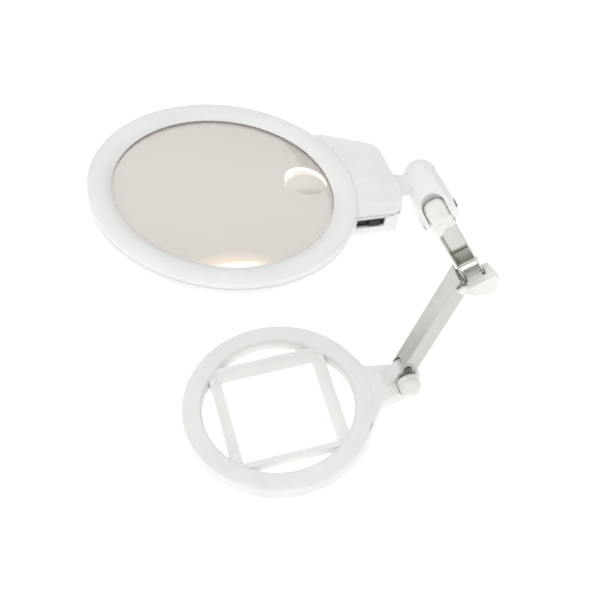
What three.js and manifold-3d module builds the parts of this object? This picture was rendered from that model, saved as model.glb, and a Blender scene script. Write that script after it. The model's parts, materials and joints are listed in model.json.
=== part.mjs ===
// Folding stand magnifier with a lamp: a round lens head on a two-link arm, over a ring base.
// Millimetres, +Z up. The origin is on the base's flat underside, in the middle of its neck.
// +X runs from the ring's centre to the base hinge, and the hinge pins there lie along Y.

import * as THREE from 'three';
import { mergeVertices } from 'three/addons/utils/BufferGeometryUtils.js';
import Module from 'manifold-3d';

// Driving dimensions, base
const ringX = -80;            // ring centre, from the origin
const ringR = 67.8;
const ringBore = 53.8;
const ringH = 11;
const ringRound = 2.6;        // rounding of the ring's top edges
const squareHalf = 33.4;      // the square opening, centre to side, at the underside
const barFoot = 8.9;          // square bar width at the underside
const barTop = 3.7;           // and at its flat top
const barH = 7.6;
const neckHalf = 11.6;        // neck half width at the hinge
const neckRootHalf = 17;      // and where it leaves the ring
const neckTop = 10.4;
const neckShift = -1.8;       // neck's middle, from the ring's
const hingeX = 12.6;
const hingeZ = 14;
const tongueR = 10;
const knobR = 8.2;
const knobDepth = 13;
const ringFlare = 0.8;        // ring's outer wall leans out to its foot

// Driving dimensions, arm
const sheet = 1.2;            // steel of the two channels
const gap = 0.35;             // running gap between touching or turning pieces
const pinR = 1.5;
const lowerLean = 20;         // degrees from the vertical, towards +X
const lowerSpan = 98.5;       // pin to pin, along the lower link
const lowerTop = 107.5;       // web's top end, past the elbow pin
const lowerOffset = -3.8;     // elbow pin, nearer the web than the base pin
const lowerHalf = 7;          // half width over the flanges
const lowerWeb = -8.8;        // web's outer face, from the base pin
const lowerOpen = 2.7;        // flanges' free edge, from the base pin
const upperLean = 23.6;       // degrees from the vertical, towards -X
const upperSpan = 81;
const upperHalf = 7;
const upperOpen = -5;         // flanges' free edge, in front of the cross pin
const upperWeb = 6.8;         // web's outer face, behind it
const elbowPin = [-12.1, 4.3];    // elbow hinge, from the cross pin, across and along the upper link

// Driving dimensions, yoke and head
const yokeTilt = 78;          // yoke's lean back from the line of the upper link, degrees
const yokeReach = 21.3;       // yoke pin to the swivel's line
const yokeR = 10;
const ballR = 10.3;           // yoke's rounded end
const earHalf = 12.6;         // half width over the yoke's ears
const headReach = 127.5;      // lens centre to the yoke's line
const swivelDrop = 11;        // swivel's line under the lens rim
const headPitch = 10.5;       // head's slope down towards the yoke, degrees
const headRoll = -5.2;
const headYaw = 1.5;
const frameR = 77.5;
const frameTop = 3;
const frameFoot = -8;
const splitZ = -3;            // joint between the two shells
const lensR = 65.5;
const openR = 63.5;
const lensTop = -1.2;         // lens rim's upper face
const lensRim = 3;
const lensBulge = 4.5;
const houseFoot = -20;
const houseTop = 1.2;
const houseEnd = 104;
const nearWall = 33.4;        // housing's upright near wall, from its middle
const wall = 2;
const cellR = 5.1;
const cellL = 44.5;
const cellPitch = 10.4;
const cellX = 72.4;
const cellZ = -12;

const wasm = await Module();
wasm.setup();

const rad = THREE.MathUtils.degToRad;

// Solids for joining and cutting
function solid(geometry) {
  const bare = geometry.index ? geometry.toNonIndexed() : geometry.clone();
  bare.deleteAttribute('normal');
  bare.deleteAttribute('uv');
  const merged = mergeVertices(bare, 1e-4);
  const corners = [];
  for (let i = 0; i < merged.index.count; i += 3) {
    const [a, b, c] = [0, 1, 2].map((k) => merged.index.getX(i + k));
    if (a !== b && b !== c && c !== a) corners.push([a, b, c]);
  }
  const build = (faces) => new wasm.Manifold(new wasm.Mesh({
    numProp: 3,
    vertProperties: new Float32Array(merged.attributes.position.array),
    triVerts: new Uint32Array(faces.flat()),
  }));
  const body = build(corners);
  return body.volume() > 0 ? body : build(corners.map(([a, b, c]) => [a, c, b]));
}

function toGeometry(manifold) {
  const mesh = manifold.getMesh();
  const geometry = new THREE.BufferGeometry();
  geometry.setAttribute('position', new THREE.BufferAttribute(mesh.vertProperties, 3));
  geometry.setIndex(new THREE.BufferAttribute(mesh.triVerts, 1));
  return geometry;
}

function join(first, ...others) {
  return others.reduce((body, other) => body.add(other), first);
}

function cut(first, ...others) {
  return others.reduce((body, other) => body.subtract(other), first);
}

function box(x0, x1, y0, y1, z0, z1) {
  const geometry = new THREE.BoxGeometry(x1 - x0, y1 - y0, z1 - z0);
  return solid(geometry.translate((x0 + x1) / 2, (y0 + y1) / 2, (z0 + z1) / 2));
}

// A cylinder or cone along one axis, from a to b on it, centred at u, v on the other two.
function rod(axis, a, b, u, v, r0, r1 = r0, sides = 32) {
  const geometry = new THREE.CylinderGeometry(r1, r0, b - a, sides);
  geometry.translate(0, (a + b) / 2, 0);
  if (axis === 'x') geometry.rotateZ(-Math.PI / 2).translate(0, u, v);
  if (axis === 'y') geometry.translate(u, 0, v);
  if (axis === 'z') geometry.rotateX(Math.PI / 2).translate(u, v, 0);
  return solid(geometry);
}

function lathe(points, sides) {
  const profile = points.map(([r, z]) => new THREE.Vector2(r, z));
  return solid(new THREE.LatheGeometry(profile, sides).rotateX(Math.PI / 2));
}

function outline(points) {
  return new THREE.Shape(points.map(([x, y]) => new THREE.Vector2(x, y)));
}

function raise(shape, depth, curveSegments) {
  return new THREE.ExtrudeGeometry(shape, { depth, bevelEnabled: false, curveSegments });
}

// A flat shape in X and Y, raised from z0 to z1.
function slab(shape, z0, z1, steps = 10) {
  return solid(raise(shape, z1 - z0, steps).translate(0, 0, z0));
}

// A flat shape drawn in X and Z, running from y0 to y1.
function plate(shape, y0, y1, steps = 10) {
  return solid(raise(shape, y1 - y0, steps).rotateX(Math.PI / 2).translate(0, y1, 0));
}

// A flat shape drawn in Y and Z, running from x0 to x1.
function beam(shape, x0, x1, steps = 10) {
  const geometry = raise(shape, x1 - x0, steps);
  return solid(geometry.rotateY(Math.PI / 2).rotateX(Math.PI / 2).translate(x0, 0, 0));
}

// Materials
function finish(color, roughness, metalness = 0) {
  return new THREE.MeshStandardMaterial({ color, roughness, metalness });
}

const whiteAbs = finish(0xeeeeec, 0.35);
const ivoryAcetal = finish(0xf0f0e8, 0.4);
const steel = finish(0xa5a29c, 0.4, 1);
const chrome = finish(0xb9b7b0, 0.15, 1);
const darkSteel = finish(0x3c3a38, 0.45, 1);
const brass = finish(0xb08d4a, 0.35, 1);
const blackPlastic = finish(0x151515, 0.5);
const acrylic = finish(0xf1ebe4, 0.03);
acrylic.transparent = true;
acrylic.opacity = 0.4;
const ledResin = finish(0xf6f2dc, 0.1);
const boardGreen = finish(0x2d6b42, 0.5);
const cellJacket = finish(0x9a9fa6, 0.35, 0.6);

const model = new THREE.Group();

function place(parent, name, body, material) {
  const mesh = new THREE.Mesh(toGeometry(body), material);
  mesh.name = name;
  parent.add(mesh);
  return mesh;
}

function frameAt(parent, x, y, z) {
  const group = new THREE.Group();
  group.position.set(x, y, z);
  parent.add(group);
  return group;
}

// Base: a ring with a square in it, and a neck that carries the hinge tongue
function ringBody() {
  const profile = [[ringBore, 0], [ringR + ringFlare, 0], [ringR, ringH - ringRound]];
  for (let i = 1; i <= 4; i += 1) {
    const t = (i / 4) * (Math.PI / 2);
    profile.push([ringR - ringRound + ringRound * Math.cos(t), ringH - ringRound + ringRound * Math.sin(t)]);
  }
  for (let i = 0; i <= 3; i += 1) {
    const t = Math.PI / 2 + (i / 3) * (Math.PI / 2);
    const r = ringBore + ringRound + ringRound * Math.cos(t);
    profile.push([r, ringH - ringRound + ringRound * Math.sin(t)]);
  }
  profile.push([ringBore, 0]);
  return lathe(profile, 72).translate([ringX, 0, 0]);
}

function squareBars() {
  const inner = squareHalf;
  const outer = squareHalf + barFoot;
  const shoulder = outer - barTop;
  const profile = [[inner, 0], [outer, 0], [outer, barH], [shoulder, barH], [inner, 0]];
  const turn = lathe(profile.map(([r, z]) => [r * Math.SQRT2, z]), 4);
  return turn.rotate([0, 0, 45]).translate([ringX, 0, 0]);
}

function neckBody() {
  const root = ringX + ringR - 14;
  const end = hingeX - 1.6;
  const shape = new THREE.Shape();
  shape.moveTo(root, -neckRootHalf - 17);
  shape.lineTo(root + 7, -neckRootHalf - 13);
  shape.quadraticCurveTo(root + 14, -neckRootHalf - 3, end - 20, -neckRootHalf + 1);
  shape.lineTo(end, -neckHalf);
  shape.lineTo(end, neckHalf);
  shape.lineTo(end - 22, neckRootHalf - 1);
  shape.quadraticCurveTo(root + 11, neckRootHalf + 1, root + 6, neckRootHalf + 10);
  shape.lineTo(root, neckRootHalf + 13);
  const bore = rod('z', -1, ringH + 1, ringX, 0, ringBore + 3, ringBore + 3, 72);
  return cut(slab(shape, 0, neckTop, 6).translate([0, neckShift, 0]), bore);
}

function tongueBody() {
  const half = lowerHalf - sheet - gap;
  const shape = new THREE.Shape();
  shape.moveTo(hingeX - 16, 0);
  shape.lineTo(hingeX, 0);
  shape.lineTo(hingeX + 3, hingeZ - 9);
  shape.absarc(hingeX, hingeZ, tongueR, rad(-62), rad(128), false);
  shape.lineTo(hingeX - 16, neckTop);
  return plate(shape, -half, half, 16);
}

const hingeClear = 0.6;
const cheekY = lowerHalf - sheet - gap;
const baseSweep = [
  rod('y', -20, -cheekY, hingeX, hingeZ, knobR + hingeClear),
  rod('y', cheekY, 20, hingeX, hingeZ, knobR + hingeClear),
];
const pinBore = rod('y', -30, 30, hingeX, hingeZ, pinR + 0.3, pinR + 0.3, 16);
const neckCut = cut(neckBody(), ...baseSweep);
place(model, 'base_ring', cut(join(ringBody(), squareBars(), neckCut, tongueBody()), pinBore), whiteAbs);

// Base hinge: a pin with a domed knob on its near end and a nut on its far end
const flangeOut = lowerHalf + gap;
const pinEnd = lowerHalf + 4.4;
place(model, 'base_hinge_pin', rod('y', -lowerHalf - 4.5, pinEnd, hingeX, hingeZ, pinR, pinR, 16), steel);

function domedKnob() {
  const rim = 4.6;
  const profile = [[0, 0], [knobR - 1.4, 0], [knobR, 1.4], [knobR, rim]];
  for (let i = 1; i <= 6; i += 1) {
    const t = (i / 6) * (Math.PI / 2);
    profile.push([i < 6 ? knobR * Math.cos(t) : 0, rim + (knobDepth - rim) * Math.sin(t)]);
  }
  const knob = lathe(profile, 40).rotate([90, 0, 0]).translate([hingeX, -flangeOut, hingeZ]);
  return cut(knob, rod('y', -lowerHalf - 4.8, 0, hingeX, hingeZ, pinR + 0.3, pinR + 0.3, 16));
}
place(model, 'base_hinge_knob', domedKnob(), ivoryAcetal);

function hexNut(y0, y1, x, z, r) {
  const nut = rod('y', y0, y1, x, z, r, r, 6);
  return cut(nut, rod('y', y0 - 1, y1 + 1, x, z, pinR + 0.3, pinR + 0.3, 16));
}
place(model, 'base_hinge_nut', hexNut(flangeOut, flangeOut + 2.6, hingeX, hingeZ, 3.4), steel);

// Lower link: a pressed channel, its web towards the lens and notched at its foot
const lower = frameAt(model, hingeX, 0, hingeZ);
lower.rotation.y = rad(lowerLean);

const stopPin = [-5, 11.5];
function lowerFlange() {
  const lobe = 4.7;
  const shape = new THREE.Shape();
  shape.moveTo(lowerWeb, 6);
  shape.quadraticCurveTo(lowerWeb, 0, -lobe, -1);
  shape.absarc(0, 0, lobe, Math.PI, rad(360 + 10), false);
  shape.quadraticCurveTo(lowerOpen + 1, 6, lowerOpen, 10);
  shape.lineTo(lowerOpen, lowerSpan - 11);
  shape.quadraticCurveTo(lowerOpen, lowerSpan - 6, lowerOffset + lobe, lowerSpan - 1);
  shape.absarc(lowerOffset, lowerSpan, lobe, 0, rad(120), false);
  shape.lineTo(lowerWeb + sheet, lowerTop);
  shape.lineTo(lowerWeb, lowerTop);
  return shape;
}

// The web, with a round notch up into its foot.
function channelWeb(half, x0, x1, z0, z1, notchHalf, notchEnd) {
  const web = box(x0, x1, -half, half, z0, z1);
  const foot = join(
    box(x0 - 1, x1 + 1, -notchHalf, notchHalf, z0 - 1, notchEnd - notchHalf),
    rod('x', x0 - 1, x1 + 1, 0, notchEnd - notchHalf, notchHalf),
  );
  return cut(web, foot);
}

function lowerChannel() {
  const flange = lowerFlange();
  const near = plate(flange, -lowerHalf, -lowerHalf + sheet, 12);
  const far = plate(flange, lowerHalf - sheet, lowerHalf, 12);
  const notchHalf = lowerHalf - sheet;
  const web = channelWeb(lowerHalf, lowerWeb, lowerWeb + sheet, 4, lowerTop, notchHalf, 13.5);
  const holes = [
    rod('y', -20, 20, 0, 0, pinR + 0.3, pinR + 0.3, 16),
    rod('y', -20, 20, lowerOffset, lowerSpan, pinR + 0.3, pinR + 0.3, 16),
    rod('y', -20, 20, ...stopPin, 2.3, 2.3, 16),
  ];
  return cut(join(near, far, web), ...holes);
}
place(lower, 'lower_link', lowerChannel(), steel);
const lowerStop = join(
  rod('y', -lowerHalf - 0.5, lowerHalf + 0.5, ...stopPin, 2, 2, 16),
  rod('y', -lowerHalf - 1, -lowerHalf - 0.1, ...stopPin, 2.8, 3, 24),
);
place(lower, 'lower_link_stop_pin', lowerStop, darkSteel);

// Elbow block: it turns on a pin along Y in the lower link, and carries the upper link's cross pin
const rise = rad(-upperLean);
const elbowX = hingeX + Math.sin(rad(lowerLean)) * lowerSpan + Math.cos(rad(lowerLean)) * lowerOffset;
const elbowZ = hingeZ + Math.cos(rad(lowerLean)) * lowerSpan - Math.sin(rad(lowerLean)) * lowerOffset;
const crossX = elbowX - Math.cos(rise) * elbowPin[0] - Math.sin(rise) * elbowPin[1];
const crossZ = elbowZ + Math.sin(rise) * elbowPin[0] - Math.cos(rise) * elbowPin[1];
const elbow = frameAt(model, crossX, 0, crossZ);
elbow.rotation.y = rise;

const blockFront = -9.6;
const blockBack = 7.6;
const blockFoot = -19;
const blockRight = 14;
const cheekOut = lowerHalf + gap;

function elbowBlock() {
  const [px, pz] = elbowPin;
  const side = upperHalf + gap;
  const inner = upperHalf - sheet - gap;
  const floor = -4.8;
  const section = outline([
    [blockFront, 5], [-6.8, blockFoot], [blockBack - 1.5, blockFoot], [blockBack, -9], [5.4, 0.5],
    [2.5, 5.6], [-3, 6.8],
  ]);
  const profile = outline([
    [px + 5.1, 8], [10.4, 8], [blockRight, 1.1], [12.2, -5], [8.4, -15.6], [4.4, -18.6], [px + 5.1, -8.2],
  ]);
  const body = beam(section, px, blockRight + 2).intersect(plate(profile, -20, 20));
  const slots = join(
    box(px, -inner, upperOpen - gap, 20, floor, 20),
    box(inner, side, upperOpen - gap, 20, floor, 20),
  );
  const knuckle = rod('x', -inner, inner, 0, 0, 7.2, 7.2, 40);
  const tongue = outline([
    [px, pz + 3.2], [-side + 0.6, pz + 1.5], [-side + 0.6, -8], [px - 1, pz - 4.4],
  ]);
  const stem = join(plate(tongue, -cheekY, cheekY), rod('y', -cheekY, cheekY, px, pz, 3.4));
  const stemCut = cut(stem, box(-side, 20, -20, 20, floor, 20));
  const cover = outline([
    [px - 2.2, pz + 2], [px + 2, pz + 3.6], [-5.6, pz + 1.6], [-5.6, -7], [px - 0.5, 0.5],
  ]);
  const nearCover = plate(cover, blockFront + 0.2, -cheekOut);
  const corner = outline([
    [side + 1.3, 9], [blockRight + 0.5, -7], [blockRight + 3, -7], [blockRight + 3, 9],
  ]);
  const shoulder = slab(corner, -20, 20);
  return cut(
    join(cut(body, slots, shoulder), knuckle, stemCut, nearCover),
    rod('x', -30, 10.8, 0, 0, pinR + 0.3, pinR + 0.3, 16),
    rod('y', -cheekOut - 0.8, 30, px, pz, pinR + 0.3, pinR + 0.3, 16),
  );
}
place(elbow, 'elbow_block', elbowBlock(), ivoryAcetal);
const elbowHinge = rod('y', -cheekOut - 0.5, lowerHalf + 1.2, ...elbowPin, pinR, pinR, 16);
place(elbow, 'elbow_hinge_pin', elbowHinge, steel);
place(elbow, 'elbow_cross_pin', rod('x', -upperHalf - 0.2, 10.5, 0, 0, pinR, pinR, 16), steel);

// Upper link: a narrower bright channel, open in front
const upper = frameAt(elbow, 0, 0, 0);
const rivetAt = [2, upperSpan - 16.5];

function upperChannel() {
  const lobe = 4.3;
  const shape = new THREE.Shape();
  shape.moveTo(upperOpen, 4);
  shape.lineTo(-lobe, 0);
  shape.absarc(0, 0, lobe, Math.PI, 2 * Math.PI, false);
  shape.lineTo(upperWeb, 8);
  shape.lineTo(upperWeb, upperSpan - 12);
  shape.lineTo(upperOpen, upperSpan - 14);
  const left = beam(shape, -upperHalf, -upperHalf + sheet);
  const right = beam(shape, upperHalf - sheet, upperHalf);
  const web = box(-upperHalf, upperHalf, upperWeb - sheet, upperWeb, 8, upperSpan - 12);
  const holes = [
    rod('x', -20, 20, 0, 0, pinR + 0.3, pinR + 0.3, 16),
    rod('x', -20, 20, -0.4, 19, 1.6, 1.6, 16),
    rod('x', -20, 20, ...rivetAt, 1.6, 1.6, 16),
  ];
  return cut(join(left, right, web), ...holes);
}
place(upper, 'upper_link', upperChannel(), chrome);
const upperStop = rod('x', -upperHalf - 0.3, upperHalf + 0.3, -0.4, 19, 1.3, 1.3, 16);
place(upper, 'upper_link_stop_pin', upperStop, chrome);

// Head tongue: a moulded end plugged into the upper link, held by a rivet, turning in the yoke
const eyeHalf = upperHalf;
const tongueEye = [
  [0, -eyeHalf], [4, -eyeHalf], [6.4, -5.6], [7.8, -2.6], [7.8, 2.6], [6.4, 5.6], [4, eyeHalf], [0, eyeHalf],
];

// A profile of radius against X, turned round X.
function drum(points) {
  return lathe(points, 40).rotate([0, 90, 0]);
}

function headTongue() {
  const inner = upperHalf - sheet - gap;
  const slanted = (half, low) => outline([
    [-half, low], [half, low + 0.83 * 2 * half], [half, upperSpan], [-half, upperSpan],
  ]);
  const stem = plate(slanted(inner, upperSpan - 23), -0.5, upperWeb - sheet - gap);
  const cover = plate(slanted(upperHalf, upperSpan - 17), -6.9, upperOpen - gap);
  const foot = upperSpan - 11.5;
  const neck = outline([[-6.4, foot], [5.4, foot], [5.9, upperSpan], [-6.4, upperSpan]]);
  const root = beam(neck, -eyeHalf, eyeHalf);
  const eye = join(root, drum(tongueEye).translate([0, 0, upperSpan]));
  return cut(
    join(stem, cover, eye),
    rod('x', -20, 20, 0, upperSpan, pinR + 0.3, pinR + 0.3, 16),
    rod('x', -20, 20, ...rivetAt, 1.6, 1.6, 16),
  );
}
place(upper, 'head_tongue', headTongue(), ivoryAcetal);
const rivet = rod('x', -upperHalf - 0.4, upperHalf + 0.4, ...rivetAt, 1.3, 1.3, 16);
place(upper, 'head_tongue_rivet', rivet, steel);

// Yoke: two ears round the tongue, and a rounded barrel that carries the head's swivel spigot
const yoke = frameAt(upper, 0, 0, upperSpan);
yoke.rotation.x = rad(-yokeTilt);

// Head: its own level frame, centred on the lens, placed from the swivel's line on the yoke
model.updateMatrixWorld(true);
const swivelPoint = yoke.localToWorld(new THREE.Vector3(0, 0, yokeReach));
const headTurn = new THREE.Quaternion()
  .setFromAxisAngle(new THREE.Vector3(0, 1, 0), rad(headPitch))
  .multiply(new THREE.Quaternion().setFromAxisAngle(new THREE.Vector3(1, 0, 0), rad(headRoll)))
  .multiply(new THREE.Quaternion().setFromAxisAngle(new THREE.Vector3(0, 0, 1), rad(headYaw)));
const headCentre = new THREE.Vector3(-headReach, 0, swivelDrop).applyQuaternion(headTurn).add(swivelPoint);
const head = frameAt(model, headCentre.x, headCentre.y, headCentre.z);
head.quaternion.copy(headTurn);
const swivelFrame = frameAt(head, headReach, 0, -swivelDrop);
model.updateMatrixWorld(true);

// A solid of the head's frame, carried into the yoke's frame
function fromHeadToYoke(body) {
  const matrix = yoke.matrixWorld.clone().invert().multiply(swivelFrame.matrixWorld);
  return body.transform(matrix.elements.slice());
}

function yokeBody() {
  const earFoot = -6.2;
  const earR = 7.2;
  const shape = new THREE.Shape();
  shape.moveTo(-earHalf + 1, earFoot);
  shape.lineTo(earHalf - 1, earFoot);
  shape.lineTo(earHalf, 4);
  shape.quadraticCurveTo(earHalf - 0.5, 16, yokeR, yokeReach + 2);
  shape.absarc(0, yokeReach + 3, yokeR, 0, Math.PI, false);
  shape.quadraticCurveTo(-earHalf + 0.5, 16, -earHalf, 4);
  const wide = plate(shape, -12, 12, 14);
  const round = new THREE.Shape();
  round.moveTo(-earR, 0);
  round.absarc(0, 0, earR, Math.PI, 2 * Math.PI, false);
  round.lineTo(9, 8);
  round.lineTo(yokeR, yokeReach + 3);
  round.absarc(0, yokeReach + 3, yokeR, 0, Math.PI, false);
  round.lineTo(-9, 8);
  const side = beam(round, -20, 20, 14);
  const barrel = rod('z', earFoot - 3, yokeReach + 20, 0, 0, earHalf + 0.6, yokeR + 0.4, 40);
  const slotHalf = upperHalf + gap;
  const slot = join(
    box(-slotHalf, slotHalf, -20, 20, earFoot - 4, 1.6),
    box(-slotHalf, slotHalf, -3, 20, 0, 6.9),
    rod('y', -20, 20, 0, 1.6, slotHalf),
  );
  const ball = solid(new THREE.SphereGeometry(ballR, 32, 20)).translate([0, 0, yokeReach + 5.7]);
  const cone = rod('x', -(headReach - houseEnd) + 0.6, -4, 0, 0, 7.4, 6.2);
  const spigot = rod('x', -(headReach - houseEnd) - 2.7, -4, 0, 0, 5);
  const boss = fromHeadToYoke(join(cone, spigot));
  const holeEnd = houseEnd - headReach + 7;
  const screwHole = fromHeadToYoke(rod('x', -40, holeEnd, 0, 0, pinR + 0.3, pinR + 0.3, 16));
  const nutPocket = join(
    rod('x', -20, -earHalf + 2.6, 0, 0, 3.9, 3.9, 6),
    box(-20, -earHalf + 2.6, -3.6, 3.6, -20, 0),
  );
  const headPocket = rod('x', earHalf - 1.6, 20, 0, 0, 3.4, 3.4);
  return cut(
    join(cut(join(wide.intersect(side).intersect(barrel), ball), slot), boss),
    rod('x', -30, 30, 0, 0, pinR + 0.3, pinR + 0.3, 16),
    nutPocket, headPocket, screwHole,
  );
}
place(yoke, 'yoke', yokeBody(), whiteAbs);
place(yoke, 'yoke_screw', join(
  rod('x', -earHalf + 0.4, earHalf - 1.2, 0, 0, pinR, pinR, 16),
  rod('x', earHalf - 1.25, earHalf + 0.2, 0, 0, 3, 2.4, 24),
), darkSteel);
place(yoke, 'yoke_nut', cut(
  rod('x', -earHalf + 0.5, -earHalf + 2.3, 0, 0, 3.5, 3.5, 6),
  rod('x', -20, 0, 0, 0, pinR + 0.3, pinR + 0.3, 16),
), brass);

// Head shells: a ring round the lens, grown into a flat housing that holds the cells
function houseShape(inset) {
  const k = inset;
  const shape = new THREE.Shape();
  shape.moveTo(50, -nearWall + k);
  shape.lineTo(90, -nearWall + k);
  shape.quadraticCurveTo(100 - k, -nearWall + k, 101.6 - k, -24);
  shape.lineTo(houseEnd - k, -14);
  shape.lineTo(houseEnd - k, 18);
  shape.quadraticCurveTo(houseEnd - k, 26 - k, 98, 28.5 - k);
  shape.lineTo(66, 42.6 - k);
  shape.lineTo(50, 44 - k);
  return shape;
}

// The housing tapers to a narrower roof and to a narrower floor; its near wall, with the switch, is upright.
function houseBlock(inset, z0, z1) {
  const foot = 29 - inset;
  const waist = 44 - inset;
  const roof = 39 - inset;
  const near = nearWall - inset;
  const across = outline([
    [-near, -3.6], [-near, -14], [-foot, houseFoot - 1], [foot, houseFoot - 1], [waist, -5],
    [roof, houseTop + 1], [9 - near, houseTop + 1],
  ]);
  const bevel = beam(across, 40, houseEnd + 1);
  return slab(houseShape(inset), z0, z1, 5).intersect(bevel);
}

function frameRing() {
  return lathe([
    [openR + 1, frameFoot], [frameR - 2.6, frameFoot], [frameR - 0.8, frameFoot + 1], [frameR, -4],
    [frameR, 0.6], [frameR - 0.7, 2.2], [frameR - 2.2, frameTop], [frameR - 8, frameTop],
    [openR + 2.4, 1.4], [openR, 0], [openR, -3.4], [openR + 1, frameFoot],
  ], 80);
}

const lensSeat = lathe([
  [0, lensTop - lensRim - gap], [lensR + gap, lensTop - lensRim - gap], [lensR + gap, lensTop + gap],
  [0, lensTop + gap],
], 80);
const bore = rod('z', -60, 20, 0, 0, openR, openR, 80);
const roofEdge = rod('z', -1, 20, 0, 0, frameR - 6, frameR - 6, 80);
const cavity = join(
  houseBlock(wall, houseFoot + wall, houseTop - wall),
  box(66.6, 80, -24, 24, houseFoot + wall, -5),
).subtract(rod('z', -60, 20, 0, 0, lensR + 1.6, lensR + 1.6, 80));
const doorOpening = box(68, 99, -24.3, 24.3, houseFoot - 1, houseFoot + wall + 0.5);
const switchX = 79.8;
const switchZ = -7.2;
const switchY = wall - nearWall;     // near wall's inner face
const switchSlot = box(switchX - 8.8, switchX + 8.8, -45, switchY + 0.1, switchZ - 3.05, switchZ + 3.05);
const swivelBore = rod('x', 96, 120, 0, -swivelDrop, 5 + gap);
const screwCount = 5;
const screwSpot = (i) => [71.2 * Math.cos(rad(60 * (i + 1))), 71.2 * Math.sin(rad(60 * (i + 1)))];
const screwHoles = Array.from({ length: screwCount }, (_, i) => join(
  rod('z', frameFoot - 1, frameFoot + 2.2, ...screwSpot(i), 2.3, 2.3, 16),
  rod('z', frameFoot, 0.6, ...screwSpot(i), 1.3, 1.3, 12),
));
const ledHoles = [-1, 1].map((side) => rod('x', 55, 72, side * 12, -12, 2.9));
const whole = cut(
  join(frameRing(), cut(houseBlock(0, houseFoot, houseTop), bore, roofEdge)),
  lensSeat, cavity, doorOpening, switchSlot, swivelBore, ...ledHoles, ...screwHoles,
);
const rear = whole.intersect(box(-90, 120, -90, 90, -40, splitZ - 0.15));
const front = whole.intersect(box(-90, 120, -90, 90, splitZ + 0.15, 20));
place(head, 'head_rear_shell', rear, whiteAbs);
place(head, 'head_front_shell', front, whiteAbs);

// Lens: a bifocal disc, with the strong spot moulded near the yoke
function lensBody() {
  const profile = [[0, lensTop - lensRim - lensBulge]];
  const steps = 5;
  for (let i = 1; i <= steps; i += 1) {
    const r = ((openR - 0.6) * i) / steps;
    profile.push([r, lensTop - lensRim - lensBulge * (1 - (r / (openR - 0.6)) ** 2)]);
  }
  profile.push([lensR, lensTop - lensRim], [lensR, lensTop]);
  for (let i = steps; i >= 1; i -= 1) {
    const r = ((openR - 0.6) * i) / steps;
    profile.push([r, lensTop + lensBulge * (1 - (r / (openR - 0.6)) ** 2)]);
  }
  profile.push([0, lensTop + lensBulge]);
  const spot = lathe([[0, 0], [13, 0], [13, 0.6], [9.5, 2.3], [5, 3.4], [0, 3.8]], 28);
  return lathe(profile, 60).add(spot.rotate([0, 7, 0]).translate([49.5, 0, lensTop + 0.6]));
}
place(head, 'lens', lensBody(), acrylic);

// Housing contents
for (let i = 0; i < 3; i += 1) {
  const x = cellX + i * cellPitch;
  const dir = i % 2 ? -1 : 1;
  const can = rod('y', -cellL / 2 + 0.6, cellL / 2 - 0.6, x, cellZ, cellR, cellR, 24);
  const nub = rod('y', dir > 0 ? 0 : -cellL / 2 - 0.5, dir > 0 ? cellL / 2 + 0.5 : 0, x, cellZ, 1.9, 1.9, 16);
  place(head, `battery_${i + 1}`, can.add(nub), cellJacket);
}

const springStart = cellL / 2 - 0.3;
class Coil extends THREE.Curve {
  getPoint(t) {
    const angle = t * Math.PI * 2 * 2.5;
    return new THREE.Vector3(2.6 * Math.cos(angle), 2.4 * t, 2.6 * Math.sin(angle));
  }
}
function springBody(x, side) {
  const wire = new THREE.Shape();
  wire.absarc(0, 0, 0.3, 0, Math.PI * 2, false);
  const coil = new THREE.ExtrudeGeometry(wire, { steps: 24, extrudePath: new Coil(), curveSegments: 2 });
  const body = solid(coil);
  const turned = side > 0 ? body : body.rotate([0, 0, 180]);
  return turned.translate([x, side * (springStart + 0.35), cellZ]);
}
for (let i = 0; i < 3; i += 1) {
  place(head, `battery_spring_${i + 1}`, springBody(cellX + i * cellPitch, i % 2 ? 1 : -1), steel);
}

const contactY = springStart + 3.2;
for (const [name, side] of [['contact_strip_left', 1], ['contact_strip_right', -1]]) {
  const y = side * contactY;
  const strip = box(cellX - 4, cellX + 2 * cellPitch + 2.5, y - 0.2, y + 0.2, -16, -8);
  place(head, name, strip, brass);
}

place(head, 'circuit_board', box(69.5, 94, -20, 20, -5.9, -4.5), boardGreen);
for (const [name, side] of [['led_left', 1], ['led_right', -1]]) {
  const y = side * 12;
  const led = join(
    rod('x', 64.8, 66.4, y, -12, 2.5, 2.5, 24),
    rod('x', 63.2, 64.9, y, -12, 1.5, 2.5, 24),
  );
  place(head, name, led, ledResin);
}

// Slide switch in the near wall
const housingFace = switchY + gap;
const switchHousing = box(
  switchX - 9.6, switchX + 9.6, housingFace, housingFace + 2.4, switchZ - 4.3, switchZ + 3.5,
);
place(head, 'switch_body', switchHousing, blackPlastic);
function switchSlider() {
  const face = housingFace - 2.1;
  let body = box(0, 7, face, housingFace - gap, -2.1, 2.1);
  for (let i = 0; i < 4; i += 1) {
    const x = 0.9 + i * 1.5;
    body = join(body, box(x, x + 0.7, face - 0.7, face + 0.1, -2.1, 2.1));
  }
  return body.translate([switchX - 1, 0, switchZ]);
}
place(head, 'switch_slider', switchSlider(), blackPlastic);

// Battery door in the floor, pressed in from below
const door = join(
  box(68.4, 98.6, -23.9, 23.9, houseFoot + 0.1, houseFoot + wall - 0.2),
  box(70, 98, -20, -18, houseFoot + wall - 0.3, houseFoot + wall + 0.2),
  box(70, 98, 18, 20, houseFoot + wall - 0.3, houseFoot + wall + 0.2),
);
place(head, 'battery_door', door, whiteAbs);

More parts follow.
